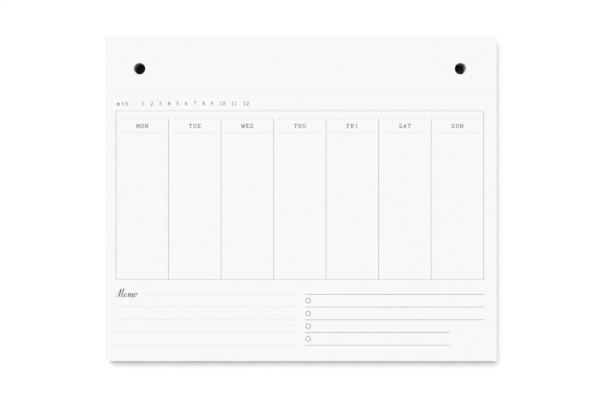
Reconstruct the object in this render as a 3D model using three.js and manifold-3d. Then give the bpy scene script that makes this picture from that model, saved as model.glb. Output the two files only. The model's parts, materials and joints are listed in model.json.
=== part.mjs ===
// Weekly planner pad: a block of white sheets on a black backing board, padded along its head.
//
// Millimetres, +Z up. The pad lies on its back with its face up and its head towards +Y.
// The origin is on the surface that the pad lies on, under the middle of the pad.

import * as THREE from "three";
import { mergeVertices } from "three/addons/utils/BufferGeometryUtils.js";
import Module from "manifold-3d";

// Sheets
const SHEET_WIDTH = 270;
const SHEET_LENGTH = 223.6; // head to foot
const SHEET_COUNT = 60;
const SHEET_THICKNESS = 0.14;

// Backing board, cut to the size of the sheets and left without holes
const BOARD_THICKNESS = 1.6;

// Padding adhesive on the head edge, across the sheets and the board
const ADHESIVE_THICKNESS = 0.4;
const ADHESIVE_BELOW_FACE = 0.2;
const ADHESIVE_ABOVE_BACK = 0.3;
const ADHESIVE_EDGE_RADIUS = 0.25;

// Holes drilled through the sheets, closed at the back by the board
const HOLE_DIAMETER = 7.9;
const HOLE_FROM_HEAD = 22.1;
const LEFT_HOLE_FROM_SIDE = 23.8;
const RIGHT_HOLE_FROM_SIDE = 25.1;
const HOLE_SIDES = 48;
const CUTTER_OVERRUN = 1;

// Tear-off line, pressed across the top sheet as a shallow groove
const TEAR_LINE_FROM_HEAD = 39.4;
const TEAR_GROOVE_WIDTH = 0.4;
const TEAR_GROOVE_DEPTH = 0.2;

// Print: every line is a thin body of ink on the top sheet
const INK_THICKNESS = 0.05;

// Day grid: a frame divided into one column for each day
const DAY_COUNT = 7;
const GRID_FROM_HEAD = 51.2;
const GRID_FROM_LEFT = 7.6;
const GRID_FROM_RIGHT = 9.1;
const GRID_LINE_WIDTH = 0.2;
const DIVIDER_BELOW_GRID_TOP = 5.3;

// Heading rules: a pair across each column, above and below the name of the day
const HEADING_HEIGHT = 9.7;
const HEADING_RULE_INSET = 2.8;
const HEADING_RULE_WIDTH = 0.15;

// Writing rules at the foot, which the notes on the left and the tasks on the right share
const RULE_COUNT = 5;
const RULE_PITCH = 8.77;
const LAST_RULE_FROM_FOOT = 10.9;
const FIRST_RULE_BELOW_GRID = 10.3;

// Notes rules: the first one leaves room for its heading
const NOTES_FROM_LEFT = 6.6;
const NOTES_FROM_MIDDLE = 4.2;
const NOTES_HEADING_LENGTH = 19.3;
const NOTES_RULE_WIDTH = 0.15;

// Task rules: the last ones stop short of the lower right corner
const TASKS_FROM_RIGHT = 8.8;
const TASKS_FROM_MIDDLE = 3;
const TASK_RULE_WIDTH = 0.28;
const SHORT_TASK_RULES = 2;
const SHORT_TASK_RULE_STOP = 23.1;

// Tick circles: one in each space between two task rules
const TICK_DIAMETER = 3.2; // at the middle of its line
const TICK_FROM_RULE_START = 2;
const TICK_LINE_WIDTH = 0.2;
const TICK_SIDES = 32;

// Levels and edges that the pieces share. The pad's length runs over the adhesive.
const FACE_Z = BOARD_THICKNESS + SHEET_COUNT * SHEET_THICKNESS;
const FOOT_Y = -(SHEET_LENGTH + ADHESIVE_THICKNESS) / 2;
const HEAD_Y = FOOT_Y + SHEET_LENGTH;
const RIGHT_X = SHEET_WIDTH / 2;
const LEFT_X = -RIGHT_X;

// Places of the print on the face
const LAST_RULE_Y = FOOT_Y + LAST_RULE_FROM_FOOT;
const FIRST_RULE_Y = LAST_RULE_Y + (RULE_COUNT - 1) * RULE_PITCH;
const GRID = {
  left: LEFT_X + GRID_FROM_LEFT,
  right: RIGHT_X - GRID_FROM_RIGHT,
  top: HEAD_Y - GRID_FROM_HEAD,
  bottom: FIRST_RULE_Y + FIRST_RULE_BELOW_GRID,
};
const COLUMN_WIDTH = (GRID.right - GRID.left) / DAY_COUNT;
const DIVIDER_TOP = GRID.top - DIVIDER_BELOW_GRID_TOP;

const PAPER = { color: "#f7f7f7", roughness: 0.9, metalness: 0 };
const BOARD = { color: "#1b1b1c", roughness: 0.85, metalness: 0 };
const ADHESIVE = { color: "#efeeea", roughness: 0.4, metalness: 0 };
const INK = { color: "#47474a", roughness: 0.75, metalness: 0 };

const wasm = await Module();
wasm.setup();

// Closed geometry as a solid that can be cut
function solidFrom(geometry) {
  const bare = geometry.clone();
  bare.deleteAttribute("normal");
  bare.deleteAttribute("uv");
  const merged = mergeVertices(bare, 1e-4);
  return new wasm.Manifold(
    new wasm.Mesh({
      numProp: 3,
      vertProperties: merged.attributes.position.array,
      triVerts: new Uint32Array(merged.index.array),
    }),
  );
}

// A cut solid as geometry with flat faces
function geometryFrom(solid) {
  const mesh = solid.getMesh();
  const geometry = new THREE.BufferGeometry();
  geometry.setAttribute("position", new THREE.BufferAttribute(mesh.vertProperties, 3));
  geometry.setIndex(new THREE.BufferAttribute(mesh.triVerts, 1));
  const flat = geometry.toNonIndexed();
  flat.computeVertexNormals();
  return flat;
}

// An upright section, drawn in Y and Z, drawn out over the whole width of the pad
function acrossThePad(section) {
  const geometry = new THREE.ExtrudeGeometry(section, {
    depth: SHEET_WIDTH,
    bevelEnabled: false,
    curveSegments: 6,
  });
  const turn = new THREE.Matrix4().makeBasis(
    new THREE.Vector3(0, 1, 0),
    new THREE.Vector3(0, 0, 1),
    new THREE.Vector3(1, 0, 0),
  );
  return geometry.applyMatrix4(turn).translate(LEFT_X, 0, 0);
}

function rectangle(left, right, bottom, top) {
  const shape = new THREE.Shape();
  shape.moveTo(left, bottom);
  shape.lineTo(right, bottom);
  shape.lineTo(right, top);
  shape.lineTo(left, top);
  shape.closePath();
  return shape;
}

function piece(name, geometry, finish) {
  const mesh = new THREE.Mesh(geometry, new THREE.MeshStandardMaterial(finish));
  mesh.name = name;
  return mesh;
}

// The sheets together: a block with the groove of the tear-off line and the drilled holes
function pageBlock() {
  const tearY = HEAD_Y - TEAR_LINE_FROM_HEAD;
  const section = new THREE.Shape();
  section.moveTo(FOOT_Y, BOARD_THICKNESS);
  section.lineTo(HEAD_Y, BOARD_THICKNESS);
  section.lineTo(HEAD_Y, FACE_Z);
  section.lineTo(tearY + TEAR_GROOVE_WIDTH / 2, FACE_Z);
  section.lineTo(tearY, FACE_Z - TEAR_GROOVE_DEPTH);
  section.lineTo(tearY - TEAR_GROOVE_WIDTH / 2, FACE_Z);
  section.lineTo(FOOT_Y, FACE_Z);
  section.closePath();

  let block = solidFrom(acrossThePad(section));
  const holeCentres = [LEFT_X + LEFT_HOLE_FROM_SIDE, RIGHT_X - RIGHT_HOLE_FROM_SIDE];
  for (const holeX of holeCentres) block = block.subtract(drill(holeX));
  return piece("page_block", geometryFrom(block), PAPER);
}

function drill(holeX) {
  const radius = HOLE_DIAMETER / 2;
  const length = FACE_Z - BOARD_THICKNESS + 2 * CUTTER_OVERRUN;
  const cutter = new THREE.CylinderGeometry(radius, radius, length, HOLE_SIDES);
  cutter.rotateX(Math.PI / 2);
  cutter.translate(holeX, HEAD_Y - HOLE_FROM_HEAD, (FACE_Z + BOARD_THICKNESS) / 2);
  return solidFrom(cutter);
}

function backingBoard() {
  const outline = rectangle(LEFT_X, RIGHT_X, FOOT_Y, HEAD_Y);
  const geometry = new THREE.ExtrudeGeometry(outline, {
    depth: BOARD_THICKNESS,
    bevelEnabled: false,
  });
  return piece("backing_board", geometry, BOARD);
}

// The adhesive lies flat on the head edge, and its outer edges are rounded
function headAdhesive() {
  const outerY = HEAD_Y + ADHESIVE_THICKNESS;
  const low = ADHESIVE_ABOVE_BACK;
  const high = FACE_Z - ADHESIVE_BELOW_FACE;
  const round = ADHESIVE_EDGE_RADIUS;
  const section = new THREE.Shape();
  section.moveTo(HEAD_Y, low);
  section.lineTo(outerY - round, low);
  section.absarc(outerY - round, low + round, round, -Math.PI / 2, 0, false);
  section.lineTo(outerY, high - round);
  section.absarc(outerY - round, high - round, round, 0, Math.PI / 2, false);
  section.lineTo(HEAD_Y, high);
  section.closePath();
  return piece("head_adhesive", acrossThePad(section), ADHESIVE);
}

// A flat outline as a thin body of ink. It is drawn on the face, where its group puts it.
function printed(name, outline) {
  const geometry = new THREE.ExtrudeGeometry(outline, {
    depth: INK_THICKNESS,
    bevelEnabled: false,
    curveSegments: TICK_SIDES,
  });
  return piece(name, geometry, INK);
}

function rule(name, left, right, y, width) {
  return printed(name, rectangle(left, right, y - width / 2, y + width / 2));
}

// The frame and its dividers are one print: the outline of the frame with the comb of columns left open
function dayGrid() {
  const half = GRID_LINE_WIDTH / 2;
  const outline = rectangle(GRID.left - half, GRID.right + half, GRID.bottom - half, GRID.top + half);
  const open = new THREE.Path();
  open.moveTo(GRID.left + half, GRID.top - half);
  for (let day = 1; day <= DAY_COUNT; day += 1) {
    const columnLeft = GRID.left + (day - 1) * COLUMN_WIDTH;
    const columnRight = columnLeft + COLUMN_WIDTH;
    open.lineTo(columnLeft + half, GRID.bottom + half);
    open.lineTo(columnRight - half, GRID.bottom + half);
    if (day < DAY_COUNT) {
      open.lineTo(columnRight - half, DIVIDER_TOP);
      open.lineTo(columnRight + half, DIVIDER_TOP);
    }
  }
  open.lineTo(GRID.right - half, GRID.top - half);
  open.closePath();
  outline.holes.push(open);
  return printed("print_day_grid", outline);
}

function headingRules() {
  const rules = new THREE.Group();
  for (let day = 0; day < DAY_COUNT; day += 1) {
    const left = GRID.left + day * COLUMN_WIDTH + HEADING_RULE_INSET;
    const right = GRID.left + (day + 1) * COLUMN_WIDTH - HEADING_RULE_INSET;
    const label = "print_heading_" + (day + 1);
    rules.add(rule(label + "_upper", left, right, DIVIDER_TOP, HEADING_RULE_WIDTH));
    rules.add(rule(label + "_lower", left, right, DIVIDER_TOP - HEADING_HEIGHT, HEADING_RULE_WIDTH));
  }
  return rules;
}

function notesRules() {
  const rules = new THREE.Group();
  const left = LEFT_X + NOTES_FROM_LEFT;
  for (let row = 0; row < RULE_COUNT; row += 1) {
    const start = row === 0 ? left + NOTES_HEADING_LENGTH : left;
    const y = FIRST_RULE_Y - row * RULE_PITCH;
    rules.add(rule("print_notes_rule_" + (row + 1), start, -NOTES_FROM_MIDDLE, y, NOTES_RULE_WIDTH));
  }
  return rules;
}

function taskRules() {
  const rules = new THREE.Group();
  const right = RIGHT_X - TASKS_FROM_RIGHT;
  for (let row = 0; row < RULE_COUNT; row += 1) {
    const short = row >= RULE_COUNT - SHORT_TASK_RULES;
    const end = short ? right - SHORT_TASK_RULE_STOP : right;
    const y = FIRST_RULE_Y - row * RULE_PITCH;
    rules.add(rule("print_task_rule_" + (row + 1), TASKS_FROM_MIDDLE, end, y, TASK_RULE_WIDTH));
  }
  return rules;
}

function tickCircles() {
  const circles = new THREE.Group();
  const x = TASKS_FROM_MIDDLE + TICK_FROM_RULE_START;
  for (let row = 0; row < RULE_COUNT - 1; row += 1) {
    const y = FIRST_RULE_Y - (row + 0.5) * RULE_PITCH;
    const ring = new THREE.Shape();
    ring.absarc(x, y, (TICK_DIAMETER + TICK_LINE_WIDTH) / 2, 0, 2 * Math.PI, false);
    const inside = new THREE.Path();
    inside.absarc(x, y, (TICK_DIAMETER - TICK_LINE_WIDTH) / 2, 0, 2 * Math.PI, true);
    ring.holes.push(inside);
    circles.add(printed("print_tick_circle_" + (row + 1), ring));
  }
  return circles;
}

const print = new THREE.Group();
print.position.z = FACE_Z;
print.add(dayGrid(), headingRules(), notesRules(), taskRules(), tickCircles());

const pad = new THREE.Group();
pad.add(pageBlock(), backingBoard(), headAdhesive(), print);

export default pad;
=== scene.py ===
"""The looks of a weekly planner pad, made around its solids.

Metres, +Z up. The pad lies on its back with its face up and its head towards +Y.
"""

import json
import math

import bpy
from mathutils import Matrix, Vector, geometry, noise


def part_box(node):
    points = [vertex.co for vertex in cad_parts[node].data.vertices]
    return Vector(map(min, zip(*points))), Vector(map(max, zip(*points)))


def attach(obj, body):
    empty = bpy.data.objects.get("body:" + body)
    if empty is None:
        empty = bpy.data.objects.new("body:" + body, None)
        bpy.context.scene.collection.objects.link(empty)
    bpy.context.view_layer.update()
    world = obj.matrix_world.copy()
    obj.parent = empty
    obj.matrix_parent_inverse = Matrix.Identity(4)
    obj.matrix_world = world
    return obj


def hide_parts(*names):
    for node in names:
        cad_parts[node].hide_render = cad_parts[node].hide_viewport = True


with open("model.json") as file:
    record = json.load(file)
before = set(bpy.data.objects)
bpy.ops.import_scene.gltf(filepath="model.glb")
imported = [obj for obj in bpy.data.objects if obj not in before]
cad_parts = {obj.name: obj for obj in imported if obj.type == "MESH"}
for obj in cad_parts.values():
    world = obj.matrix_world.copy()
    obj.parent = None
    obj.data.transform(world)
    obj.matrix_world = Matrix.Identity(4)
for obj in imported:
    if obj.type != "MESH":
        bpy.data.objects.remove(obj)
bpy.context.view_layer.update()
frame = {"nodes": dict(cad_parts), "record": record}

MM = 0.001
BODY = "root"

# Sheets
SHEET_COUNT = 60
SHEET_GAP = 0.015 * MM
SHEET_SLIP = 0.05 * MM
HOLE_RADIUS = 3.95 * MM
HOLE_SIDES = 48
SHEET_SEED = 7

# What the finishes of the sheets tell apart: upright faces, and those near the middle of a hole
STEEP_BELOW_UP = 0.5
HOLE_REACH = 1.1  # of its radius

# Tear-off line: a row of slits through the top sheet
TEAR_LINE_FROM_HEAD = 39.4 * MM
SLIT_PITCH = 1.6 * MM
SLIT_LENGTH = 1.2 * MM
SLIT_WIDTH = 0.14 * MM

# Backing board
BOARD_EDGE_RADIUS = 0.18 * MM
BOARD_EDGE_STEPS = 3

# Padding adhesive: a brushed film that thins out at its borders
ADHESIVE_STEP = 0.9 * MM
ADHESIVE_ROWS = 14
ADHESIVE_UNEVENNESS = 0.12 * MM
ADHESIVE_RIM = 0.6 * MM
ADHESIVE_END = 0.9 * MM
ADHESIVE_END_START = 0.1 * MM
ADHESIVE_BORDER_SHARE = 0.25  # of its thickness

# Its brush marks: waves for each metre along it, waves over its height, and a place in the noise
BRUSH_MARKS = (55, 2.2, 3.1)
BRISTLE_MARKS = (400, 9, 8.2)

# Print: thin closed bodies on the face
PRINT_THICKNESS = 0.02 * MM
WELD = 0.001 * MM

# Dashed rules
HEADING_DASH_PITCH = 2.55 * MM
HEADING_DASH_LENGTH = 1.85 * MM
HEADING_DASH_WIDTH = 0.168 * MM
NOTES_DASH_PITCH = 4.25 * MM
NOTES_DASH_LENGTH = 3.6 * MM
NOTES_DASH_WIDTH = 0.112 * MM

# Tick rings
TICK_RING_RADIUS = 1.62 * MM
TICK_RING_LINE = 0.32 * MM
TICK_RING_SIDES = 40

# Day grid and lettering, with lengths in millimetres down to the weld of the ink
GRID_UPRIGHT_WIDTH = 0.2
GRID_BORDER_WIDTH = 0.11
WEEKDAYS = ("MON", "TUE", "WED", "THU", "FRI", "SAT", "SUN")
WEEKDAY_HEIGHT = 2.5
WEEKDAY_ADVANCE = 2.95
WEEKDAY_STROKE = 0.37
WEEKDAY_BELOW_MIDDLE = 0.2
MONTH_LABEL = "mth:"
MONTH_COUNT = 12
MONTH_HEIGHT = 2.35
MONTH_ADVANCE = 2.2
MONTH_SPACE = 3.75
MONTH_STROKE = 0.32
MONTH_LABEL_ADVANCE = 2.9
MONTH_LINE_ABOVE_GRID = 3.9
MONTH_LABEL_FROM_GRID = 0.2
MONTH_NUMBERS_FROM_GRID = 17.6
MEMO_HEIGHT = 2.8
MEMO_SLANT = 0.3
MEMO_HAIRLINE = 0.17
MEMO_DOWNSTROKE = 0.62
MEMO_FROM_LEFT = 7.4
MEMO_BELOW_RULE = 1.9
MEMO_SWELL_POWER = 1.5
MEMO_PATH_STEPS = 6

# Pen strokes: a bend past the sharp one is closed by a disc, and a gentle one by a wedge
SHARP_BEND_COSINE = 0.75
STRAIGHT_SINE = 1e-4
DISC_SIDES = 10
ARC_STEPS = 12
INK_WELD = 0.001

# The photograph's frame, and where the pad's face lies in it
FRAME_WIDTH_PX = 600
FRAME_HEIGHT_PX = 400
PAD_LEFT_PX = 105.1
PAD_RIGHT_PX = 496.8
PAD_TOP_PX = 36.65
PAD_BOTTOM_PX = 361.05
LENS_MM = 50.0
SENSOR_MM = 36.0

# Light: a soft key from beyond the head, a little to the left, and an even fill
KEY_FROM = (-0.27, 0.43, 1.0)
KEY_ENERGY = 2.15
KEY_WIDTH_DEGREES = 31
FILL_STRENGTH = 0.415
FLOOR_HALF = 4.0
FLOOR_DROP = 0.1 * MM
FLOOR_UNDER_PAD = 0.3 * MM
FLOOR_WHITE = 0.95
FLOOR_LIFT = 0.035

page_low, page_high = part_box("page_block")
board_low, board_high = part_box("backing_board")
adhesive_low, adhesive_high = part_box("head_adhesive")
grid_low, grid_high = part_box("print_day_grid")
FACE_Z = page_high.z
SHEET_PITCH = (page_high.z - page_low.z) / SHEET_COUNT


# Node trees

def make_node(tree, kind, inputs=None, **settings):
    """A node with its settings, whose inputs take a value or the socket that feeds them."""
    node = tree.nodes.new(kind)
    for name, value in settings.items():
        setattr(node, name, value)
    for key, value in (inputs or {}).items():
        if isinstance(value, bpy.types.NodeSocket):
            tree.links.new(value, node.inputs[key])
        else:
            node.inputs[key].default_value = value
    return node


def new_group(name, kind, inputs, outputs):
    """A node group with named sockets, its input node and its output node."""
    tree = bpy.data.node_groups.new(name, kind)
    for label, socket_type in inputs:
        tree.interface.new_socket(label, in_out="INPUT", socket_type=socket_type)
    for label, socket_type in outputs:
        tree.interface.new_socket(label, in_out="OUTPUT", socket_type=socket_type)
    return tree, tree.nodes.new("NodeGroupInput"), tree.nodes.new("NodeGroupOutput")


def math_node(tree, operation, first, second=0.0):
    """The result of one operation on two values or sockets."""
    return make_node(tree, "ShaderNodeMath", {0: first, 1: second}, operation=operation).outputs[0]


def join(tree, *parts):
    """The geometry of several sockets together."""
    node = tree.nodes.new("GeometryNodeJoinGeometry")
    for part in parts:
        tree.links.new(part, node.inputs[0])
    return node.outputs[0]


def thickened(tree, flat, thickness):
    """A closed solid that stands on a flat mesh."""
    raised = make_node(
        tree,
        "GeometryNodeExtrudeMesh",
        {"Mesh": flat, "Offset Scale": thickness, "Individual": False},
        mode="FACES",
    )
    under = make_node(tree, "GeometryNodeFlipFaces", {"Mesh": flat})
    closed = make_node(
        tree,
        "GeometryNodeMergeByDistance",
        {"Geometry": join(tree, raised.outputs["Mesh"], under.outputs[0]), "Distance": WELD},
    )
    return closed.outputs[0]


# Shader groups that several finishes share

def paper_tooth_group():
    """The felt of pressed fibres: a fine height, and a broad mottle of formation."""
    tree, given, out = new_group(
        "paper tooth",
        "ShaderNodeTree",
        [
            ("Vector", "NodeSocketVector"),
            ("Tooth Size", "NodeSocketFloat"),
            ("Cloud Size", "NodeSocketFloat"),
        ],
        [("Height", "NodeSocketFloat"), ("Mottle", "NodeSocketFloat")],
    )
    vector = given.outputs["Vector"]
    tooth_scale = math_node(tree, "DIVIDE", 1.0, given.outputs["Tooth Size"])
    cloud_scale = math_node(tree, "DIVIDE", 1.0, given.outputs["Cloud Size"])
    fibre_scale = math_node(tree, "MULTIPLY", tooth_scale, 0.35)
    tooth = make_node(
        tree,
        "ShaderNodeTexNoise",
        {"Vector": vector, "Scale": tooth_scale, "Detail": 4.0, "Roughness": 0.6},
    )
    clouds = make_node(
        tree,
        "ShaderNodeTexNoise",
        {"Vector": vector, "Scale": cloud_scale, "Detail": 2.0, "Distortion": 1.5},
    )
    fibres = make_node(
        tree,
        "ShaderNodeTexVoronoi",
        {"Vector": vector, "Scale": fibre_scale},
        feature="DISTANCE_TO_EDGE",
    )
    ridge = math_node(tree, "MULTIPLY", fibres.outputs["Distance"], 0.5)
    height = math_node(tree, "ADD", tooth.outputs["Fac"], ridge)
    tree.links.new(height, out.inputs["Height"])
    tree.links.new(clouds.outputs["Fac"], out.inputs["Mottle"])
    return tree


def leaf_lines_group():
    """The edges of stacked leaves: long streaks that change quickly from one leaf to the next."""
    tree, given, out = new_group(
        "leaf lines",
        "ShaderNodeTree",
        [
            ("Vector", "NodeSocketVector"),
            ("Leaf Pitch", "NodeSocketFloat"),
            ("Streak Length", "NodeSocketFloat"),
        ],
        [("Shade", "NodeSocketFloat"), ("Height", "NodeSocketFloat")],
    )
    along = math_node(tree, "DIVIDE", 1.0, given.outputs["Streak Length"])
    across = math_node(tree, "DIVIDE", 0.5, given.outputs["Leaf Pitch"])
    scale = make_node(tree, "ShaderNodeCombineXYZ", {0: along, 1: along, 2: across})
    stretched = make_node(
        tree,
        "ShaderNodeVectorMath",
        {0: given.outputs["Vector"], 1: scale.outputs[0]},
        operation="MULTIPLY",
    )
    streaks = make_node(
        tree, "ShaderNodeTexNoise", {"Vector": stretched.outputs[0], "Scale": 1.0, "Detail": 3.0}
    )
    fine = make_node(
        tree, "ShaderNodeTexNoise", {"Vector": stretched.outputs[0], "Scale": 3.0, "Detail": 2.0}
    )
    tree.links.new(streaks.outputs["Fac"], out.inputs["Shade"])
    tree.links.new(fine.outputs["Fac"], out.inputs["Height"])
    return tree


PAPER_TOOTH = paper_tooth_group()
LEAF_LINES = leaf_lines_group()


# Finishes

def new_finish(name, **plain):
    """A material, its tree, its shader with plain values on its own sockets, and object coordinates."""
    material = bpy.data.materials.new(name)
    material.use_nodes = True
    tree = material.node_tree
    shader = tree.nodes["Principled BSDF"]
    for socket, value in plain.items():
        shader.inputs[socket.replace("_", " ")].default_value = value
    place = make_node(tree, "ShaderNodeTexCoord").outputs["Object"]
    return material, tree, shader, place


def grey(level, warmth=0.0):
    """A grey that keeps less blue the warmer it is."""
    return (level, level * (1 - warmth * 0.35), level * (1 - warmth), 1.0)


def use_group(tree, group, **inputs):
    """A shader group in a material, with its own values."""
    named = {label.replace("_", " "): value for label, value in inputs.items()}
    return make_node(tree, "ShaderNodeGroup", named, node_tree=group)


def shade_between(tree, shader, mask, dark, light, low=0.3, high=0.7):
    """Base colour from dark to light as a mask goes from low to high."""
    ramp = make_node(tree, "ShaderNodeMapRange", {"Value": mask, "From Min": low, "From Max": high})
    mix = make_node(
        tree,
        "ShaderNodeMix",
        {"Factor": ramp.outputs[0], "A": dark, "B": light},
        data_type="RGBA",
    )
    tree.links.new(mix.outputs["Result"], shader.inputs["Base Color"])


def roughness_between(tree, shader, mask, low, high):
    spread = make_node(tree, "ShaderNodeMapRange", {"Value": mask, "To Min": low, "To Max": high})
    tree.links.new(spread.outputs[0], shader.inputs["Roughness"])


def add_bump(tree, shader, height, distance, strength):
    bump = make_node(
        tree,
        "ShaderNodeBump",
        {"Height": height, "Distance": distance, "Strength": strength},
    )
    tree.links.new(bump.outputs["Normal"], shader.inputs["Normal"])


def sheet_paper():
    """Smooth white writing paper."""
    material, tree, shader, place = new_finish("sheet_paper", Specular_IOR_Level=0.25)
    tooth = use_group(tree, PAPER_TOOTH, Vector=place, Tooth_Size=0.16 * MM, Cloud_Size=3.5 * MM)
    shade_between(tree, shader, tooth.outputs["Mottle"], grey(0.904), grey(0.913))
    roughness_between(tree, shader, tooth.outputs["Height"], 0.82, 0.94)
    add_bump(tree, shader, tooth.outputs["Height"], 0.006 * MM, 0.6)
    return material


def cut_edges():
    """The guillotined edges of the sheets."""
    material, tree, shader, place = new_finish("cut_edges", Specular_IOR_Level=0.2)
    lines = use_group(tree, LEAF_LINES, Vector=place, Leaf_Pitch=SHEET_PITCH, Streak_Length=9 * MM)
    shade_between(tree, shader, lines.outputs["Shade"], grey(0.74, 0.02), grey(0.88, 0.01))
    roughness_between(tree, shader, lines.outputs["Shade"], 0.88, 0.96)
    add_bump(tree, shader, lines.outputs["Height"], 0.03 * MM, 0.7)
    return material


def drilled_edges():
    """The walls of the drilled holes: paper edges with painted shade, far darker than the cut edges so
    that the holes look deep.
    """
    material, tree, shader, place = new_finish("drilled_edges", Specular_IOR_Level=0.3)
    lines = use_group(tree, LEAF_LINES, Vector=place, Leaf_Pitch=SHEET_PITCH, Streak_Length=2.5 * MM)
    # Painted shade: dark greys stand for the shade deep inside the holes.
    shade_between(tree, shader, lines.outputs["Shade"], grey(0.18), grey(0.32))
    roughness_between(tree, shader, lines.outputs["Shade"], 0.7, 0.9)
    add_bump(tree, shader, lines.outputs["Height"], 0.03 * MM, 0.8)
    return material


def black_card():
    """Pressed black board with a matt, lightly fibrous face."""
    material, tree, shader, place = new_finish("black_card", Specular_IOR_Level=0.3)
    tooth = use_group(tree, PAPER_TOOTH, Vector=place, Tooth_Size=0.35 * MM, Cloud_Size=9 * MM)
    shade_between(tree, shader, tooth.outputs["Height"], grey(0.010), grey(0.021), low=0.45, high=0.95)
    roughness_between(tree, shader, tooth.outputs["Mottle"], 0.78, 0.93)
    add_bump(tree, shader, tooth.outputs["Height"], 0.03 * MM, 0.8)
    return material


def padding_glue():
    """Brushed-on padding adhesive, dried to a pale film with a soft sheen."""
    material, tree, shader, place = new_finish(
        "padding_glue", Specular_IOR_Level=0.3, Subsurface_Weight=0.08, Subsurface_Scale=0.4 * MM
    )
    strokes = use_group(tree, LEAF_LINES, Vector=place, Leaf_Pitch=0.5 * MM, Streak_Length=30 * MM)
    shade_between(tree, shader, strokes.outputs["Shade"], grey(0.67, 0.04), grey(0.75, 0.03))
    roughness_between(tree, shader, strokes.outputs["Shade"], 0.48, 0.66)
    add_bump(tree, shader, strokes.outputs["Height"], 0.05 * MM, 0.8)
    return material


def printing_ink(name, dark, light):
    """Ink that breaks up slightly on the tooth of the paper."""
    material, tree, shader, place = new_finish(name, Specular_IOR_Level=0.2)
    tooth = use_group(tree, PAPER_TOOTH, Vector=place, Tooth_Size=0.16 * MM, Cloud_Size=6 * MM)
    shade_between(tree, shader, tooth.outputs["Height"], grey(dark), grey(light), low=0.45, high=0.95)
    roughness_between(tree, shader, tooth.outputs["Mottle"], 0.7, 0.85)
    add_bump(tree, shader, tooth.outputs["Height"], 0.006 * MM, 0.6)
    return material


PAPER = sheet_paper()
CUT_EDGES = cut_edges()
HOLE_WALL_SHADE = drilled_edges()
BLACK_CARD = black_card()
GLUE = padding_glue()
INK = printing_ink("dark_ink", 0.018, 0.05)
RULE_INK = printing_ink("rule_ink", 0.2, 0.3)
FAINT_INK = printing_ink("faint_ink", 0.34, 0.46)


# Pieces

def new_object(name, data):
    thing = bpy.data.objects.new(name, data)
    bpy.context.scene.collection.objects.link(thing)
    return thing


def finished_mesh(blank):
    """The plain mesh of a blank with its modifiers applied. The blank itself is thrown away."""
    bpy.context.view_layer.update()
    evaluated = blank.evaluated_get(bpy.context.evaluated_depsgraph_get())
    mesh = bpy.data.meshes.new_from_object(evaluated)
    blank.modifiers.clear()
    bpy.data.objects.remove(blank)
    return mesh


def new_piece(name, mesh, replaced=()):
    """A finished piece of the pad, with the solids that it stands for."""
    piece = new_object(name, mesh)
    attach(piece, BODY)
    if replaced:
        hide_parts(*replaced)
    return piece


def grown(tree, base=None, **values):
    """The plain mesh that a geometry tree makes from named input values."""
    seed = new_object("seed", base or bpy.data.meshes.new("seed"))
    modifier = seed.modifiers.new("grow", "NODES")
    modifier.node_group = tree
    for item in tree.interface.items_tree:
        label = item.name.replace(" ", "_")
        if item.in_out == "INPUT" and label in values:
            modifier[item.identifier] = values[label]
    seed.update_tag()
    return finished_mesh(seed)


SHEET_INPUTS = [
    ("Width", "NodeSocketFloat"),
    ("Length", "NodeSocketFloat"),
    ("Middle", "NodeSocketVector"),
    ("Thickness", "NodeSocketFloat"),
    ("Hole Radius", "NodeSocketFloat"),
    ("Left Hole", "NodeSocketVector"),
    ("Right Hole", "NodeSocketVector"),
]


def drilled_sheet_group():
    """One closed sheet with two holes, and any further cuts, standing on height zero."""
    tree, given, out = new_group(
        "drilled sheet",
        "GeometryNodeTree",
        [*SHEET_INPUTS, ("Cuts", "NodeSocketGeometry")],
        [("Sheet", "NodeSocketGeometry")],
    )
    outline = make_node(
        tree,
        "GeometryNodeCurvePrimitiveQuadrilateral",
        {"Width": given.outputs["Width"], "Height": given.outputs["Length"]},
    )
    placed = make_node(
        tree,
        "GeometryNodeTransform",
        {"Geometry": outline.outputs[0], "Translation": given.outputs["Middle"]},
    )
    circle = make_node(
        tree,
        "GeometryNodeCurvePrimitiveCircle",
        {"Resolution": HOLE_SIDES, "Radius": given.outputs["Hole Radius"]},
    )
    rims = []
    for side in ("Left Hole", "Right Hole"):
        rim = make_node(
            tree,
            "GeometryNodeTransform",
            {"Geometry": circle.outputs[0], "Translation": given.outputs[side]},
        )
        rims.append(rim.outputs[0])
    flat = make_node(
        tree,
        "GeometryNodeFillCurve",
        {"Curve": join(tree, placed.outputs[0], given.outputs["Cuts"], *rims)},
    )
    tree.links.new(thickened(tree, flat.outputs[0], given.outputs["Thickness"]), out.inputs["Sheet"])
    return tree


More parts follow.
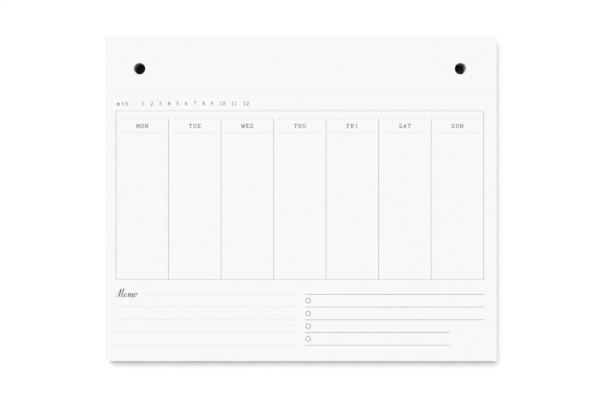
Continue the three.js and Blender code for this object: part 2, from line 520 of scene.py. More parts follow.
def sheet_finish_group():
    """Paper on the faces of the sheets, its own finish on their cut edges, and painted shade on the
    walls of the two holes.
    """
    tree, given, out = new_group(
        "sheet finish",
        "GeometryNodeTree",
        [
            ("Sheets", "NodeSocketGeometry"),
            ("Hole Radius", "NodeSocketFloat"),
            ("Left Hole", "NodeSocketVector"),
            ("Right Hole", "NodeSocketVector"),
        ],
        [("Sheets", "NodeSocketGeometry")],
    )
    normal = tree.nodes.new("GeometryNodeInputNormal").outputs[0]
    up = make_node(tree, "ShaderNodeSeparateXYZ", {0: normal}).outputs["Z"]
    steep = make_node(
        tree,
        "FunctionNodeCompare",
        {0: math_node(tree, "ABSOLUTE", up), 1: STEEP_BELOW_UP},
        operation="LESS_THAN",
    )
    position = tree.nodes.new("GeometryNodeInputPosition").outputs[0]
    on_plan = make_node(tree, "ShaderNodeVectorMath", {0: position, 1: (1, 1, 0)}, operation="MULTIPLY")
    reach = math_node(tree, "MULTIPLY", given.outputs["Hole Radius"], HOLE_REACH)
    at_a_hole = []
    for side in ("Left Hole", "Right Hole"):
        away = make_node(
            tree,
            "ShaderNodeVectorMath",
            {0: on_plan.outputs[0], 1: given.outputs[side]},
            operation="DISTANCE",
        )
        near = make_node(
            tree, "FunctionNodeCompare", {0: away.outputs["Value"], 1: reach}, operation="LESS_THAN"
        )
        at_a_hole.append(near.outputs[0])
    either = make_node(
        tree, "FunctionNodeBooleanMath", {0: at_a_hole[0], 1: at_a_hole[1]}, operation="OR"
    )
    wall = make_node(
        tree, "FunctionNodeBooleanMath", {0: steep.outputs[0], 1: either.outputs[0]}, operation="AND"
    )
    faces = make_node(
        tree, "GeometryNodeSetMaterial", {"Geometry": given.outputs["Sheets"], "Material": PAPER}
    )
    edges = make_node(
        tree,
        "GeometryNodeSetMaterial",
        {"Geometry": faces.outputs[0], "Selection": steep.outputs[0], "Material": CUT_EDGES},
    )
    # The walls of the holes take the painted shade.
    walls = make_node(
        tree,
        "GeometryNodeSetMaterial",
        {"Geometry": edges.outputs[0], "Selection": wall.outputs[0], "Material": HOLE_WALL_SHADE},
    )
    tree.links.new(walls.outputs[0], out.inputs["Sheets"])
    return tree


def finish_sheets(tree, given, finish, sheets):
    """The sheet finish at the end of another tree."""
    node = make_node(tree, "GeometryNodeGroup", {"Sheets": sheets}, node_tree=finish)
    for label in ("Hole Radius", "Left Hole", "Right Hole"):
        tree.links.new(given.outputs[label], node.inputs[label])
    return node.outputs["Sheets"]


def place_sheet(tree, given, drilled_sheet, cuts=None):
    """A drilled sheet inside another tree, fed from that tree's own inputs."""
    sheet = make_node(tree, "GeometryNodeGroup", node_tree=drilled_sheet)
    for label, _ in SHEET_INPUTS:
        tree.links.new(given.outputs[label], sheet.inputs[label])
    if cuts:
        tree.links.new(cuts, sheet.inputs["Cuts"])
    return sheet.outputs["Sheet"]


def stack_tree(drilled_sheet, finish):
    """Loose sheets one on another, each slipped a hair from the last."""
    tree, given, out = new_group(
        "stack of sheets",
        "GeometryNodeTree",
        [
            *SHEET_INPUTS,
            ("Count", "NodeSocketInt"),
            ("Pitch", "NodeSocketFloat"),
            ("First Height", "NodeSocketFloat"),
            ("Slip", "NodeSocketFloat"),
            ("Seed", "NodeSocketInt"),
        ],
        [("Stack", "NodeSocketGeometry")],
    )
    start = make_node(tree, "ShaderNodeCombineXYZ", {2: given.outputs["First Height"]})
    step = make_node(tree, "ShaderNodeCombineXYZ", {2: given.outputs["Pitch"]})
    places = make_node(
        tree,
        "GeometryNodeMeshLine",
        {
            "Count": given.outputs["Count"],
            "Start Location": start.outputs[0],
            "Offset": step.outputs[0],
        },
        mode="OFFSET",
    )
    sheets = make_node(
        tree,
        "GeometryNodeInstanceOnPoints",
        {"Points": places.outputs[0], "Instance": place_sheet(tree, given, drilled_sheet)},
    )
    slip = given.outputs["Slip"]
    back = math_node(tree, "MULTIPLY", slip, -1.0)
    least = make_node(tree, "ShaderNodeCombineXYZ", {0: back, 1: back})
    most = make_node(tree, "ShaderNodeCombineXYZ", {0: slip})
    shift = make_node(
        tree,
        "FunctionNodeRandomValue",
        {0: least.outputs[0], 1: most.outputs[0], "Seed": given.outputs["Seed"]},
        data_type="FLOAT_VECTOR",
    )
    slipped = make_node(
        tree,
        "GeometryNodeTranslateInstances",
        {"Instances": sheets.outputs[0], "Translation": shift.outputs[0]},
    )
    real = make_node(tree, "GeometryNodeRealizeInstances", {"Geometry": slipped.outputs[0]})
    tree.links.new(finish_sheets(tree, given, finish, real.outputs[0]), out.inputs["Stack"])
    return tree


def top_sheet_tree(drilled_sheet, finish):
    """The top sheet, cut through by a row of slits along the tear-off line."""
    tree, given, out = new_group(
        "top sheet",
        "GeometryNodeTree",
        [
            *SHEET_INPUTS,
            ("Slit Count", "NodeSocketInt"),
            ("First Slit", "NodeSocketVector"),
            ("Slit Pitch", "NodeSocketFloat"),
            ("Slit Length", "NodeSocketFloat"),
            ("Slit Width", "NodeSocketFloat"),
            ("Height", "NodeSocketFloat"),
        ],
        [("Sheet", "NodeSocketGeometry")],
    )
    step = make_node(tree, "ShaderNodeCombineXYZ", {0: given.outputs["Slit Pitch"]})
    places = make_node(
        tree,
        "GeometryNodeMeshLine",
        {
            "Count": given.outputs["Slit Count"],
            "Start Location": given.outputs["First Slit"],
            "Offset": step.outputs[0],
        },
        mode="OFFSET",
    )
    slit = make_node(
        tree,
        "GeometryNodeCurvePrimitiveQuadrilateral",
        {"Width": given.outputs["Slit Length"], "Height": given.outputs["Slit Width"]},
    )
    row = make_node(
        tree, "GeometryNodeInstanceOnPoints", {"Points": places.outputs[0], "Instance": slit.outputs[0]}
    )
    slits = make_node(tree, "GeometryNodeRealizeInstances", {"Geometry": row.outputs[0]})
    lift = make_node(tree, "ShaderNodeCombineXYZ", {2: given.outputs["Height"]})
    lifted = make_node(
        tree,
        "GeometryNodeTransform",
        {
            "Geometry": place_sheet(tree, given, drilled_sheet, slits.outputs[0]),
            "Translation": lift.outputs[0],
        },
    )
    real = make_node(tree, "GeometryNodeRealizeInstances", {"Geometry": lifted.outputs[0]})
    tree.links.new(finish_sheets(tree, given, finish, real.outputs[0]), out.inputs["Sheet"])
    return tree


def hole_centres():
    """The middles of the two holes, left and right, on height zero."""
    centres = {}
    for opening in frame["record"]["physics"]["openings"]:
        low, high = (Vector(corner) for corner in opening["box_m"])
        middle = (low + high) / 2
        centres[opening["name"]] = (middle.x, middle.y, 0.0)
    return centres


def make_sheets():
    """The stack of loose sheets, and the top sheet with its tear-off line."""
    drilled_sheet = drilled_sheet_group()
    finish = sheet_finish_group()
    centres = hole_centres()
    width = page_high.x - page_low.x
    length = page_high.y - page_low.y
    sheet = {
        "Middle": (0.0, (page_low.y + page_high.y) / 2, 0.0),
        "Thickness": SHEET_PITCH - SHEET_GAP,
        "Hole_Radius": HOLE_RADIUS,
        "Left_Hole": centres["left_hole"],
        "Right_Hole": centres["right_hole"],
    }
    stack = grown(
        stack_tree(drilled_sheet, finish),
        Width=width - 2 * SHEET_SLIP,
        Length=length - 2 * SHEET_SLIP,
        Count=SHEET_COUNT - 1,
        Pitch=SHEET_PITCH,
        First_Height=page_low.z + SHEET_GAP,
        Slip=SHEET_SLIP,
        Seed=SHEET_SEED,
        **sheet,
    )
    new_piece("page_stack", stack, ["page_block"])

    slit_count = int((width - SLIT_LENGTH) / SLIT_PITCH)
    row_length = (slit_count - 1) * SLIT_PITCH
    top = grown(
        top_sheet_tree(drilled_sheet, finish),
        Width=width,
        Length=length,
        Slit_Count=slit_count,
        First_Slit=(-row_length / 2, page_high.y - TEAR_LINE_FROM_HEAD, 0.0),
        Slit_Pitch=SLIT_PITCH,
        Slit_Length=SLIT_LENGTH,
        Slit_Width=SLIT_WIDTH,
        Height=FACE_Z - SHEET_PITCH + SHEET_GAP,
        **sheet,
    )
    new_piece("top_sheet", top)


def frame_sides():
    """The four faces between one ring of four points and the next."""
    return [(i, (i + 1) % 4, (i + 1) % 4 + 4, i + 4) for i in range(4)]


def make_board():
    """The board, with its cut edges and corners pressed slightly round."""
    blank = new_object("board_blank", bpy.data.meshes.new("board"))
    left, right = -board_high.x, board_high.x
    foot, head = board_low.y, board_high.y
    corners = [(left, foot), (right, foot), (right, head), (left, head)]
    points = [(x, y, z) for z in (board_low.z, board_high.z) for x, y in corners]
    faces = [(3, 2, 1, 0), (4, 5, 6, 7), *frame_sides()]
    blank.data.from_pydata(points, [], faces)
    bevel = blank.modifiers.new("pressed edges", "BEVEL")
    bevel.width = BOARD_EDGE_RADIUS
    bevel.segments = BOARD_EDGE_STEPS
    mesh = finished_mesh(blank)
    mesh.materials.append(BLACK_CARD)
    new_piece("board", mesh, ["backing_board"])


def brush_mark(along, up, marks):
    """How much the brush left at one place, from about -1 to 1."""
    return noise.noise(Vector((along * marks[0], up * marks[1], marks[2])))


def adhesive_thickness(along, up, rim, end):
    """How thick the film is at one place, from how far that is from the rims and the ends."""
    edge = min(1.0, rim / ADHESIVE_RIM, (end + ADHESIVE_END_START) / ADHESIVE_END)
    swell = math.sqrt(max(0.0, 1 - (1 - edge) ** 2))
    ripple = brush_mark(along, up, BRUSH_MARKS) + 0.5 * brush_mark(along, up, BRISTLE_MARKS)
    full = adhesive_high.y - adhesive_low.y - ADHESIVE_UNEVENNESS * (0.5 + 0.33 * ripple)
    return full * (ADHESIVE_BORDER_SHARE + (1 - ADHESIVE_BORDER_SHARE) * swell)


def make_adhesive():
    """The padding adhesive: flat on the head edge, brushed unevenly outside, thin at its borders."""
    width = adhesive_high.x - adhesive_low.x
    height = adhesive_high.z - adhesive_low.z
    columns = round(width / ADHESIVE_STEP)
    rows = ADHESIVE_ROWS
    points = []
    for layer in ("outside", "inside"):
        for i in range(columns + 1):
            along = adhesive_low.x + width * i / columns
            end = min(i, columns - i) * ADHESIVE_STEP
            for j in range(rows + 1):
                up = j / rows
                rim = min(up, 1 - up) * height
                out = adhesive_thickness(along, up, rim, end) if layer == "outside" else 0.0
                points.append((along, adhesive_low.y + out, adhesive_low.z + up * height))
    per_column = rows + 1
    inside = (columns + 1) * per_column

    def at(i, j, layer):
        return layer * inside + i * per_column + j

    faces = []
    for i in range(columns):
        for j in range(rows):
            faces.append((at(i + 1, j, 0), at(i, j, 0), at(i, j + 1, 0), at(i + 1, j + 1, 0)))
            faces.append((at(i, j, 1), at(i + 1, j, 1), at(i + 1, j + 1, 1), at(i, j + 1, 1)))
    for i in range(columns):
        faces.append((at(i, 0, 0), at(i + 1, 0, 0), at(i + 1, 0, 1), at(i, 0, 1)))
        faces.append((at(i + 1, rows, 0), at(i, rows, 0), at(i, rows, 1), at(i + 1, rows, 1)))
    last = columns
    for j in range(rows):
        faces.append((at(0, j + 1, 0), at(0, j, 0), at(0, j, 1), at(0, j + 1, 1)))
        faces.append((at(last, j, 0), at(last, j + 1, 0), at(last, j + 1, 1), at(last, j, 1)))
    mesh = bpy.data.meshes.new("padding_adhesive")
    mesh.from_pydata(points, [], faces)
    mesh.materials.append(GLUE)
    for polygon in mesh.polygons:
        polygon.use_smooth = True
    new_piece("padding_adhesive", mesh, ["head_adhesive"])


# Print

def inked(tree, instances, ink):
    """Instances made real, in an ink."""
    real = make_node(tree, "GeometryNodeRealizeInstances", {"Geometry": instances})
    node = make_node(tree, "GeometryNodeSetMaterial", {"Geometry": real.outputs[0], "Material": ink})
    return node.outputs[0]


def dash_tree():
    """A row of dashes of ink along every edge of the base mesh."""
    tree, given, out = new_group(
        "dashes",
        "GeometryNodeTree",
        [
            ("Lines", "NodeSocketGeometry"),
            ("Pitch", "NodeSocketFloat"),
            ("Dash", "NodeSocketVector"),
        ],
        [("Dashes", "NodeSocketGeometry")],
    )
    curves = make_node(tree, "GeometryNodeMeshToCurve", {"Mesh": given.outputs["Lines"]})
    spaced = make_node(
        tree,
        "GeometryNodeResampleCurve",
        {"Curve": curves.outputs[0], "Length": given.outputs["Pitch"]},
        mode="LENGTH",
    )
    dash = make_node(tree, "GeometryNodeMeshCube", {"Size": given.outputs["Dash"]})
    row = make_node(
        tree, "GeometryNodeInstanceOnPoints", {"Points": spaced.outputs[0], "Instance": dash.outputs[0]}
    )
    tree.links.new(inked(tree, row.outputs[0], FAINT_INK), out.inputs["Dashes"])
    return tree


def ring_tree():
    """A thin ring of ink on each point of the base mesh."""
    tree, given, out = new_group(
        "rings",
        "GeometryNodeTree",
        [
            ("Centres", "NodeSocketGeometry"),
            ("Radius", "NodeSocketFloat"),
            ("Line Width", "NodeSocketFloat"),
            ("Thickness", "NodeSocketFloat"),
        ],
        [("Rings", "NodeSocketGeometry")],
    )
    half = math_node(tree, "MULTIPLY", given.outputs["Line Width"], 0.5)
    circles = []
    for operation in ("ADD", "SUBTRACT"):
        radius = math_node(tree, operation, given.outputs["Radius"], half)
        circle = make_node(
            tree, "GeometryNodeCurvePrimitiveCircle", {"Resolution": TICK_RING_SIDES, "Radius": radius}
        )
        circles.append(circle.outputs[0])
    flat = make_node(tree, "GeometryNodeFillCurve", {"Curve": join(tree, *circles)})
    ring = thickened(tree, flat.outputs[0], given.outputs["Thickness"])
    rings = make_node(
        tree, "GeometryNodeInstanceOnPoints", {"Points": given.outputs["Centres"], "Instance": ring}
    )
    tree.links.new(inked(tree, rings.outputs[0], INK), out.inputs["Rings"])
    return tree


def make_tick_rings():
    """The round boxes to tick between the task rules."""
    names = [name for name in frame["nodes"] if name.startswith("print_tick_circle")]
    boxes = [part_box(name) for name in names]
    centres = [((low.x + high.x) / 2, (low.y + high.y) / 2, FACE_Z) for low, high in boxes]
    points = bpy.data.meshes.new("ring_centres")
    points.from_pydata(centres, [], [])
    mesh = grown(
        ring_tree(),
        points,
        Radius=TICK_RING_RADIUS,
        Line_Width=TICK_RING_LINE,
        Thickness=PRINT_THICKNESS,
    )
    new_piece("tick_rings", mesh, names)


def make_dashed_rules(name, rules, pitch, length, width):
    """Dashes along the middle lines of the plain rules that they stand for."""
    points = []
    for rule in rules:
        low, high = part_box(rule)
        y = (low.y + high.y) / 2
        z = FACE_Z + PRINT_THICKNESS / 2
        points += [(low.x + length / 2, y, z), (high.x - length / 2, y, z)]
    lines = bpy.data.meshes.new(name + "_lines")
    lines.from_pydata(points, [(i, i + 1) for i in range(0, len(points), 2)], [])
    mesh = grown(dash_tree(), lines, Pitch=pitch, Dash=(length, width, PRINT_THICKNESS))
    new_piece(name, mesh, rules)


def arc(x, y, across, up, start, end, steps=ARC_STEPS):
    """Points on an ellipse, from one angle to another, in degrees."""
    angles = [math.radians(start + (end - start) * i / steps) for i in range(steps + 1)]
    return [(x + across * math.cos(a), y + up * math.sin(a)) for a in angles]


def bar(left, right, y):
    """A level stroke."""
    return [(left, y), (right, y)]


def turned(strokes, width):
    """Strokes turned half round, in a cell of that width and height 1."""
    return [[(width - x, 1 - y) for x, y in stroke] for stroke in strokes]


SIX = [
    arc(0.36, 0.3, 0.26, 0.3, 0, 360),
    [(0.1, 0.34), (0.14, 0.6), (0.26, 0.82), (0.42, 0.95), (0.56, 1.0)],
]

# Each character is its width and its strokes, in a cell of height 1
CHARACTERS = {
    "A": (
        0.9,
        [[(0.1, 0), (0.45, 1), (0.8, 0)], bar(0.22, 0.68, 0.34), bar(0, 0.24, 0),
         bar(0.66, 0.9, 0)],
    ),
    "D": (
        0.84,
        [bar(0, 0.36, 0), bar(0, 0.36, 1), [(0.14, 0), (0.14, 1)],
         arc(0.36, 0.5, 0.42, 0.5, 90, -90)],
    ),
    "E": (
        0.8,
        [bar(0, 0.74, 0), bar(0, 0.72, 1), [(0.14, 0), (0.14, 1)], bar(0.14, 0.5, 0.52),
         [(0.5, 0.4), (0.5, 0.64)], [(0.74, 0), (0.76, 0.24)], [(0.72, 1), (0.72, 0.78)]],
    ),
    "F": (
        0.76,
        [bar(0, 0.32, 0), bar(0, 0.72, 1), [(0.14, 0), (0.14, 1)], bar(0.14, 0.48, 0.5),
         [(0.48, 0.38), (0.48, 0.62)], [(0.72, 1), (0.72, 0.78)]],
    ),
    "H": (
        0.88,
        [[(0.15, 0), (0.15, 1)], [(0.73, 0), (0.73, 1)], bar(0.15, 0.73, 0.5), bar(0, 0.3, 0),
         bar(0.58, 0.88, 0), bar(0, 0.3, 1), bar(0.58, 0.88, 1)],
    ),
    "I": (0.5, [[(0.25, 0), (0.25, 1)], bar(0.05, 0.45, 0), bar(0.05, 0.45, 1)]),
    "M": (
        1.0,
        [[(0.14, 0), (0.14, 1), (0.5, 0.32), (0.86, 1), (0.86, 0)], bar(0, 0.28, 0), bar(0.72, 1, 0),
         bar(0, 0.14, 1), bar(0.86, 1, 1)],
    ),
    "N": (
        0.9,
        [[(0.14, 0), (0.14, 1), (0.76, 0), (0.76, 1)], bar(0, 0.28, 0), bar(0, 0.14, 1),
         bar(0.62, 0.9, 1)],
    ),
    "O": (0.84, [arc(0.42, 0.5, 0.38, 0.5, 0, 360, 20)]),
    "R": (
        0.84,
        [bar(0, 0.3, 0), bar(0, 0.42, 1), [(0.14, 0), (0.14, 1)], arc(0.42, 0.76, 0.26, 0.24, 90, -90),
         bar(0.14, 0.42, 0.52), [(0.44, 0.52), (0.72, 0), (0.84, 0)]],
    ),
    "S": (
        0.74,
        [arc(0.37, 0.745, 0.27, 0.255, 20, 270), arc(0.37, 0.25, 0.29, 0.25, 90, -165),
         [(0.62, 0.82), (0.62, 1)], [(0.09, 0.18), (0.09, 0)]],
    ),
    "T": (
        0.84,
        [[(0.42, 0), (0.42, 1)], bar(0.04, 0.8, 1), [(0.04, 1), (0.04, 0.76)], [(0.8, 1), (0.8, 0.76)],
         bar(0.26, 0.58, 0)],
    ),
    "U": (
        0.88,
        [[(0.15, 1)] + arc(0.44, 0.32, 0.29, 0.32, 180, 360) + [(0.73, 1)], bar(0, 0.3, 1),
         bar(0.58, 0.88, 1)],
    ),
    "W": (
        1.04,
        [[(0.12, 1), (0.3, 0), (0.52, 0.74), (0.74, 0), (0.92, 1)], bar(0, 0.26, 1),
         bar(0.78, 1.04, 1)],
    ),
    "0": (0.72, [arc(0.36, 0.5, 0.27, 0.5, 0, 360, 20)]),
    "1": (0.72, [[(0.16, 0.8), (0.38, 1), (0.38, 0)], bar(0.16, 0.6, 0)]),
    "2": (0.72, [arc(0.36, 0.71, 0.26, 0.29, 165, -35) + [(0.1, 0), (0.64, 0), (0.64, 0.14)]]),
    "3": (0.72, [arc(0.34, 0.76, 0.23, 0.24, 155, -90), arc(0.34, 0.27, 0.27, 0.27, 90, -155)]),
    "4": (0.72, [[(0.5, 0), (0.5, 1), (0.08, 0.3), (0.68, 0.3)], bar(0.36, 0.64, 0)]),
    "5": (0.72, [[(0.58, 1), (0.18, 1), (0.14, 0.56)] + arc(0.35, 0.32, 0.27, 0.32, 125, -150)]),
    "6": (0.72, SIX),
    "7": (0.72, [[(0.1, 0.84), (0.1, 1), (0.64, 1), (0.3, 0)]]),
    "8": (0.72, [arc(0.36, 0.75, 0.21, 0.25, 0, 360), arc(0.36, 0.26, 0.27, 0.26, 0, 360)]),
    "9": (0.72, turned(SIX, 0.72)),
    "m": (
        0.86,
        [[(0.12, 0), (0.12, 0.66)], arc(0.27, 0.5, 0.15, 0.15, 180, 0) + [(0.42, 0)],
         arc(0.58, 0.5, 0.15, 0.15, 180, 0) + [(0.73, 0)], bar(0, 0.12, 0.66), bar(0, 0.24, 0),
         bar(0.32, 0.52, 0), bar(0.62, 0.86, 0)],
    ),
    "t": (0.7, [[(0.3, 0.94), (0.3, 0.2)] + arc(0.48, 0.2, 0.18, 0.2, 180, 310), bar(0.08, 0.6, 0.66)]),
    "h": (
        0.8,
        [[(0.16, 0), (0.16, 1)], arc(0.4, 0.42, 0.24, 0.24, 170, 0) + [(0.64, 0)], bar(0.02, 0.16, 1),
         bar(0.02, 0.3, 0), bar(0.5, 0.78, 0)],
    ),
    ":": (0.72, [bar(0.24, 0.38, 0.06), bar(0.24, 0.38, 0.6)]),
}


def disc(centre, width):
    """The corners of a round dot."""
    last_angle = 360 - 360 / DISC_SIDES
    return arc(centre[0], centre[1], width / 2, width / 2, 0, last_angle, DISC_SIDES - 1)


def pen_stroke(points, widths):
    """The convex shapes of a stroke: one for each straight run, and one that closes each bend."""
    points = [Vector(point) for point in points]
    sides = []
    for a, b in zip(points, points[1:]):
        run = (b - a).normalized()
        sides.append(Vector((-run.y, run.x)))
    shapes = []
    for i, side in enumerate(sides):
        start, end = side * widths[i] / 2, side * widths[i + 1] / 2
        shapes.append([points[i] - start, points[i + 1] - end, points[i + 1] + end, points[i] + start])
    for i, (side, next_side) in enumerate(zip(sides, sides[1:]), start=1):
        before, after = side * widths[i] / 2, next_side * widths[i] / 2
        turn = side.cross(next_side)
        if side.dot(next_side) < SHARP_BEND_COSINE:
            shapes.append([Vector(corner) for corner in disc(points[i], widths[i])])
        elif turn > STRAIGHT_SINE:
            shapes.append([points[i], points[i] - before, points[i] - after])
        elif turn < -STRAIGHT_SINE:
            shapes.append([points[i], points[i] + after, points[i] + before])
    return shapes


def written(text, left, baseline, height, advance, stroke):
    """A line of characters, each centred in its own advance and given as its shapes."""
    characters = []
    for index, character in enumerate(text):
        width, strokes = CHARACTERS[character]
        start = left + index * advance + (advance - width * height) / 2
        shapes = []
        for points in strokes:
            placed = [(start + x * height, baseline + y * height) for x, y in points]
            shapes += pen_stroke(placed, [stroke] * len(placed))
        characters.append(shapes)
    return characters


def covers(shape, point):
    """Whether a convex shape holds the point."""
    return all((b - a).cross(point - a) >= 0 for a, b in zip(shape, [*shape[1:], shape[0]]))


def inked_triangles(shapes):
    """The points and triangles of what the shapes cover together. The gaps between them stay open."""
    origin = shapes[0][0]
    shapes = [[point - origin for point in shape] for shape in shapes]
    points = []
    outlines = []
    for shape in shapes:
        outlines.append(list(range(len(points), len(points) + len(shape))))
        points += shape
    flat_points, _, triangles, *_ = geometry.delaunay_2d_cdt(points, [], outlines, 1, INK_WELD)
    reach = max((a - b).length for shape in shapes for a in shape for b in shape)
    kept = []
    for triangle in triangles:
        middle = sum((flat_points[i] for i in triangle), Vector((0, 0))) / 3
        near = [shape for shape in shapes if (shape[0] - middle).length <= reach]
        if any(covers(shape, middle) for shape in near):
            kept.append(triangle)
    return [point + origin for point in flat_points], kept


def ink_mesh(name, characters):
    """Characters, given in millimetres, as thin closed print on the face."""
    points = []
    faces = []
    for shapes in characters:
        flat_points, triangles = inked_triangles(shapes)
        first, count = len(points), len(flat_points)
        for z in (FACE_Z, FACE_Z + PRINT_THICKNESS):
            points += [(point.x * MM, point.y * MM, z) for point in flat_points]
        edges = {pair for triangle in triangles for pair in zip(triangle, [*triangle[1:], triangle[0]])}
        rims = [(a, b) for a, b in edges if (b, a) not in edges]
        local = [[i + count for i in triangle] for triangle in triangles]
        local += [list(reversed(triangle)) for triangle in triangles]
        local += [(a, b, b + count, a + count) for a, b in sorted(rims)]
        faces += [[i + first for i in face] for face in local]
    mesh = bpy.data.meshes.new(name)
    mesh.from_pydata(points, [], faces)
    mesh.materials.append(INK)
    return mesh


def rectangle(left, right, low, high):
    return [Vector(corner) for corner in ((left, low), (right, low), (right, high), (left, high))]


def make_grid():
    """The border of the week and the six dividers, which stop short of its upper line."""
    left, right = grid_low.x / MM, grid_high.x / MM
    foot, head = grid_low.y / MM, grid_high.y / MM
    divider_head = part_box("print_heading_1_upper")[1].y / MM
    upright, border = GRID_UPRIGHT_WIDTH, GRID_BORDER_WIDTH
    lines = [
        rectangle(left, right, foot, foot + border),
        rectangle(left, right, head - border, head),
        rectangle(left, left + upright, foot, head),
        rectangle(right - upright, right, foot, head),
    ]
    pitch = (right - left - upright) / len(WEEKDAYS)
    for day in range(1, len(WEEKDAYS)):
        start = left + day * pitch
        lines.append(rectangle(start, start + upright, foot, divider_head))
    new_piece("day_grid", ink_mesh("day_grid", [lines]), ["print_day_grid"])


def make_weekdays():
    """The names of the days, short and in plain slab capitals, between the rules of each heading."""
    characters = []
    for index, day in enumerate(WEEKDAYS):
        upper_low, upper_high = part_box(f"print_heading_{index + 1}_upper")
        lower_low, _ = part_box(f"print_heading_{index + 1}_lower")
        middle_x = (upper_low.x + upper_high.x) / 2 / MM
        middle_y = (upper_high.y + lower_low.y) / 2 / MM
        left = middle_x - len(day) * WEEKDAY_ADVANCE / 2
        baseline = middle_y - WEEKDAY_BELOW_MIDDLE - WEEKDAY_HEIGHT / 2
        characters += written(day, left, baseline, WEEKDAY_HEIGHT, WEEKDAY_ADVANCE, WEEKDAY_STROKE)
    new_piece("weekday_letters", ink_mesh("weekday_letters", characters))


def make_month_line():
    """The numbers of the months in a row above the grid, after a short label."""
    left = grid_low.x / MM
    baseline = grid_high.y / MM + MONTH_LINE_ABOVE_GRID
    label_left = left + MONTH_LABEL_FROM_GRID
    characters = written(
        MONTH_LABEL, label_left, baseline, MONTH_HEIGHT, MONTH_LABEL_ADVANCE, MONTH_STROKE
    )
    start = left + MONTH_NUMBERS_FROM_GRID
    for month in range(1, MONTH_COUNT + 1):
        text = str(month)
        characters += written(text, start, baseline, MONTH_HEIGHT, MONTH_ADVANCE, MONTH_STROKE)
        start += len(text) * MONTH_ADVANCE + MONTH_SPACE
    new_piece("month_numbers", ink_mesh("month_numbers", characters))


def smooth_path(points, steps):
    """Points on a smooth curve through the given ones."""
    ends = [points[0], *points, points[-1]]
    path = []
    for p0, p1, p2, p3 in zip(ends, ends[1:], ends[2:], ends[3:]):
        for i in range(steps):
            t = i / steps
            path.append(tuple(
                0.5 * (2 * b + (c - a) * t + (2 * a - 5 * b + 4 * c - d) * t * t
                       + (3 * b - a - 3 * c + d) * t ** 3)
                for a, b, c, d in zip(p0, p1, p2, p3)
            ))
    path.append(points[-1])
    return path


# The pen's path through the handwritten word, upright, with small letters of height 1
PEN_CAPITAL_M = [
    (-0.2, 0.16), (0.02, 0.06), (0.22, 0.3), (0.5, 1.4), (0.66, 2.1), (0.7, 1.3), (0.72, 0.1),
    (0.94, 1.1), (1.3, 2.12), (1.36, 1.3), (1.36, 0.3), (1.5, 0.0), (1.7, 0.2),
]
PEN_E = [
    (1.95, 0.46), (2.3, 0.72), (2.32, 0.98), (2.06, 0.92), (1.95, 0.45), (2.12, 0.03), (2.4, 0.06),
    (2.7, 0.5),
]
PEN_M = [
    (2.86, 0.98), (3.0, 0.76), (2.98, 0.02), (3.1, 0.6), (3.36, 0.99), (3.5, 0.78), (3.48, 0.02),
    (3.6, 0.6), (3.86, 0.99), (4.0, 0.76), (3.98, 0.2), (4.1, 0.0), (4.28, 0.2),
]
PEN_O = [
    (4.5, 0.75), (4.82, 1.0), (4.56, 0.92), (4.4, 0.46), (4.56, 0.03), (4.84, 0.06), (5.02, 0.5),
    (4.84, 0.95), (4.86, 0.78), (5.1, 0.72), (5.4, 0.92),
]


def eased(values):
    """Each value averaged with its two neighbours."""
    return [sum(near) / 3 for near in zip([values[0], *values], values, [*values[1:], values[-1]])]


def make_memo():
    """A short handwritten word before the notes, with thin upstrokes and thick downstrokes."""
    word = PEN_CAPITAL_M + PEN_E + PEN_M + PEN_O
    rule_low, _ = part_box("print_notes_rule_1")
    left = page_low.x / MM + MEMO_FROM_LEFT
    baseline = rule_low.y / MM - MEMO_BELOW_RULE
    path = [
        (left + (x + MEMO_SLANT * y) * MEMO_HEIGHT, baseline + y * MEMO_HEIGHT)
        for x, y in smooth_path(word, MEMO_PATH_STEPS)
    ]
    widths = []
    for before, after in zip([path[0], *path], [*path[1:], path[-1]]):
        run = Vector(after) - Vector(before)
        down = max(0.0, -run.y / max(run.length, 1e-6))
        swell = down ** MEMO_SWELL_POWER
        widths.append(MEMO_HAIRLINE + (MEMO_DOWNSTROKE - MEMO_HAIRLINE) * swell)
    new_piece("memo_word", ink_mesh("memo_word", [pen_stroke(path, eased(widths))]))


def ink_task_rules():
    """The solids of the task rules keep their shape and take a grey ink."""
    for name, node in frame["nodes"].items():
        if name.startswith("print_task_rule"):
            node.data.materials.clear()
            node.data.materials.append(RULE_INK)


# Surroundings

def make_camera():
    """Straight above the pad, at the distance where its face fills the same part of the frame."""
    face_width = page_high.x - page_low.x
    metres_per_px = face_width / (PAD_RIGHT_PX - PAD_LEFT_PX)
    distance = metres_per_px * FRAME_WIDTH_PX * LENS_MM / SENSOR_MM
    pad_middle_px = Vector(((PAD_LEFT_PX + PAD_RIGHT_PX) / 2, (PAD_TOP_PX + PAD_BOTTOM_PX) / 2))
    pad_middle_y = (page_low.y + page_high.y) / 2
    data = bpy.data.cameras.new("camera")
    data.lens = LENS_MM
    data.sensor_width = SENSOR_MM
    camera = new_object("camera", data)
    camera.location = (
        (FRAME_WIDTH_PX / 2 - pad_middle_px.x) * metres_per_px,
        pad_middle_y - (FRAME_HEIGHT_PX / 2 - pad_middle_px.y) * metres_per_px,
        FACE_Z + distance,
    )
    bpy.context.scene.camera = camera


def make_key_light():
    """A sun with a wide disc, so that the pad's shadow has soft edges."""
    data = bpy.data.lights.new("soft_key", "SUN")
    data.energy = KEY_ENERGY
    data.angle = math.radians(KEY_WIDTH_DEGREES)
    lamp = new_object("soft_key", data)
    lamp.rotation_mode = "QUATERNION"
    lamp.rotation_quaternion = Vector(KEY_FROM).to_track_quat("Z", "Y")


def seen_directly(tree):
    """1 for rays of the camera, of reflections and of transmission, and 0 for the scene's light."""
    path = tree.nodes.new("ShaderNodeLightPath")
    either = math_node(tree, "MAXIMUM", path.outputs["Is Camera Ray"], path.outputs["Is Glossy Ray"])
    return math_node(tree, "MAXIMUM", either, path.outputs["Is Transmission Ray"])


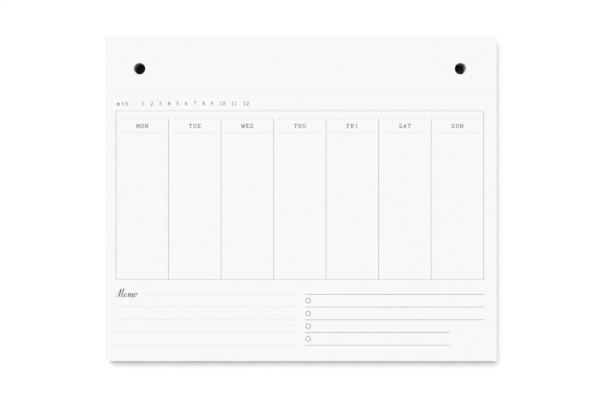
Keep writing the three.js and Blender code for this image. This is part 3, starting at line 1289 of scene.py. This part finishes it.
def make_world():
    """An even fill that is seen as white."""
    world = bpy.data.worlds.new("white_room")
    world.use_nodes = True
    tree = world.node_tree
    background = tree.nodes["Background"]
    background.inputs["Color"].default_value = (1, 1, 1, 1)
    strength = make_node(
        tree,
        "ShaderNodeMapRange",
        {"Value": seen_directly(tree), "To Min": FILL_STRENGTH, "To Max": 1.0},
    )
    tree.links.new(strength.outputs[0], background.inputs["Strength"])
    bpy.context.scene.world = world


def make_floor():
    """A white table top that keeps the pad's shadow.

    It is clear from below and open under the pad, so that the back of the board is seen there.
    """
    mesh = bpy.data.meshes.new("floor")
    half, inset = FLOOR_HALF, FLOOR_UNDER_PAD
    outer = [(-half, -half), (half, -half), (half, half), (-half, half)]
    inner = [
        (board_low.x + inset, board_low.y + inset),
        (board_high.x - inset, board_low.y + inset),
        (board_high.x - inset, board_high.y - inset),
        (board_low.x + inset, board_high.y - inset),
    ]
    mesh.from_pydata([(x, y, -FLOOR_DROP) for x, y in outer + inner], [], frame_sides())
    material = bpy.data.materials.new("table_white")
    material.use_nodes = True
    tree = material.node_tree
    tree.nodes.clear()
    matt = make_node(tree, "ShaderNodeBsdfDiffuse", {"Color": grey(FLOOR_WHITE)})
    lift = math_node(tree, "MULTIPLY", seen_directly(tree), FLOOR_LIFT)
    glow = make_node(tree, "ShaderNodeEmission", {"Strength": lift})
    lit = make_node(tree, "ShaderNodeAddShader", {0: matt.outputs[0], 1: glow.outputs[0]})
    clear = make_node(tree, "ShaderNodeBsdfTransparent")
    facing = make_node(tree, "ShaderNodeNewGeometry").outputs["Backfacing"]
    either = make_node(tree, "ShaderNodeMixShader", {0: facing, 1: lit.outputs[0], 2: clear.outputs[0]})
    make_node(tree, "ShaderNodeOutputMaterial", {"Surface": either.outputs[0]})
    mesh.materials.append(material)
    new_object("floor", mesh)


make_camera()
make_key_light()
make_world()
make_floor()
bpy.context.scene.view_settings.view_transform = "Standard"

make_sheets()
make_board()
make_adhesive()
ink_task_rules()
make_grid()
make_tick_rings()
days = range(1, len(WEEKDAYS) + 1)
make_dashed_rules(
    "heading_dashes",
    [f"print_heading_{day}_{side}" for day in days for side in ("upper", "lower")],
    HEADING_DASH_PITCH,
    HEADING_DASH_LENGTH,
    HEADING_DASH_WIDTH,
)
make_dashed_rules(
    "notes_dashes",
    [name for name in frame["nodes"] if name.startswith("print_notes_rule")],
    NOTES_DASH_PITCH,
    NOTES_DASH_LENGTH,
    NOTES_DASH_WIDTH,
)
make_weekdays()
make_month_line()
make_memo()
